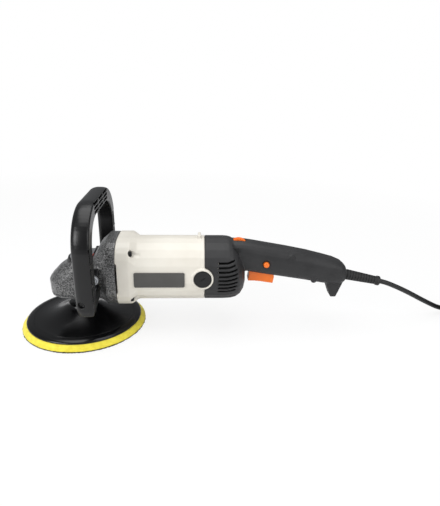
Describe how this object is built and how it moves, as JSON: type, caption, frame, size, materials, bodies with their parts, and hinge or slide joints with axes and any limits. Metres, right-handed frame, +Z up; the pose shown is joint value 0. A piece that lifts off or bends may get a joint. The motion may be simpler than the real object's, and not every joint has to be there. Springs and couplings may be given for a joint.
{
  "type": "rotary polisher",
  "caption": "Corded rotary polisher with a large foam-backed pad, D-shaped front handle, straight motor housing and rear grip with trigger.",
  "frame": {"origin": "centre of the pad's working face, on the spindle's axis", "axes": "+Z up along the spindle, +X along the motor to the tail, -Y the side of the lock-on button"},
  "size_m": [0.8494, 0.1866, 0.199],
  "materials": {
    "cream_abs": "moulded cream ABS, light satin",
    "dark_grey_nylon": "moulded dark grey nylon, fine grain",
    "black_nylon": "moulded black nylon, soft sheen",
    "black_rubber": "black rubber",
    "orange_abs": "moulded orange ABS",
    "yellow_foam": "yellow closed foam",
    "hammered_enamel": "hammered grey enamel on cast aluminium",
    "steel": "ground steel",
    "zinc_plate": "bright zinc plate",
    "brass": "drawn brass",
    "copper": "varnished copper",
    "lamination_steel": "stacked steel laminations",
    "carbon": "pressed carbon",
    "badge_grey": "bare dark grey plate"
  },
  "bodies": {
    "polisher": {"motor_housing": "cream_abs", "handle_shell_left": "dark_grey_nylon", "handle_shell_right": "dark_grey_nylon", "head_cap": "black_nylon", "fan_baffle": "black_nylon", "brush_cap_left": "black_nylon", "brush_cap_right": "black_nylon", "switch_body": "black_nylon", "speed_module": "black_nylon", "cord_clamp": "black_nylon", "side_handle": "black_nylon", "cord_tie": "black_nylon", "cover_screw_1": "black_nylon", "cover_screw_2": "black_nylon", "cover_screw_3": "black_nylon", "cover_screw_4": "black_nylon", "strain_relief": "black_rubber", "cord_lead": "black_rubber", "cord_coil": "black_rubber", "cord_tail": "black_rubber", "plug": "black_rubber", "gear_housing": "hammered_enamel", "bearing_cover": "hammered_enamel", "lower_bearing": "steel", "front_bearing": "steel", "rear_bearing": "steel", "spindle_lock_spring": "steel", "shell_screw_1": "steel", "shell_screw_2": "steel", "shell_screw_3": "steel", "handle_bolt_left": "zinc_plate", "handle_bolt_right": "zinc_plate", "housing_screw_1": "zinc_plate", "housing_screw_2": "zinc_plate", "housing_screw_3": "zinc_plate", "housing_screw_4": "zinc_plate", "top_bush": "brass", "brush_holder_left": "brass", "brush_holder_right": "brass", "field_coil_left": "copper", "field_coil_right": "copper", "stator_core": "lamination_steel", "brush_left": "carbon", "brush_right": "carbon", "badge": "badge_grey"},
    "spindle_group": {"pad_hook_layer": "black_nylon", "pad_foam": "yellow_foam", "pad_plate": "black_nylon", "pad_insert": "steel", "spindle": "steel", "crown_gear": "steel"},
    "armature": {"armature_shaft": "steel", "drive_pinion": "steel", "armature_core": "lamination_steel", "commutator": "copper", "cooling_fan": "black_nylon"},
    "trigger_lever": {"trigger": "orange_abs"},
    "lock_on": {"lock_on_button": "orange_abs"},
    "dial": {"speed_dial": "orange_abs"},
    "spindle_lock": {"spindle_lock_button": "black_nylon"}
  },
  "joints": [
    {"name": "spindle_spin", "type": "hinge", "parent": "polisher", "child": "spindle_group", "pos_m": [0, 0, 0], "axis": [0, 0, 1], "continuous": true},
    {"name": "armature_spin", "type": "hinge", "parent": "polisher", "child": "armature", "pos_m": [0.1, 0, 0.08965], "axis": [1, 0, 0], "continuous": true},
    {"name": "trigger_pull", "type": "hinge", "parent": "polisher", "child": "trigger_lever", "pos_m": [0.2505, 0, 0.0885], "axis": [0, -1, 0], "range_deg": [0, 9], "stiffness_Nm_per_rad": 0.6, "springref_deg": -8.59},
    {"name": "lock_on_press", "type": "slide", "parent": "polisher", "child": "lock_on", "axis": [0, 1, 0], "range_m": [0, 0.003], "stiffness_N_per_m": 300, "springref_m": -0.002},
    {"name": "speed_dial_turn", "type": "hinge", "parent": "polisher", "child": "dial", "pos_m": [0.23, 0, 0.1206], "axis": [0, 1, 0], "range_deg": [0, 300]},
    {"name": "spindle_lock_press", "type": "slide", "parent": "polisher", "child": "spindle_lock", "axis": [0, -1, 0], "range_m": [0, 0.0045], "stiffness_N_per_m": 500, "springref_m": -0.002, "deforming": ["spindle_lock_spring"]}
  ],
  "couplings": [
    {"joint": "armature_spin", "follows": "spindle_spin", "ratio": 4.375}
  ]
}
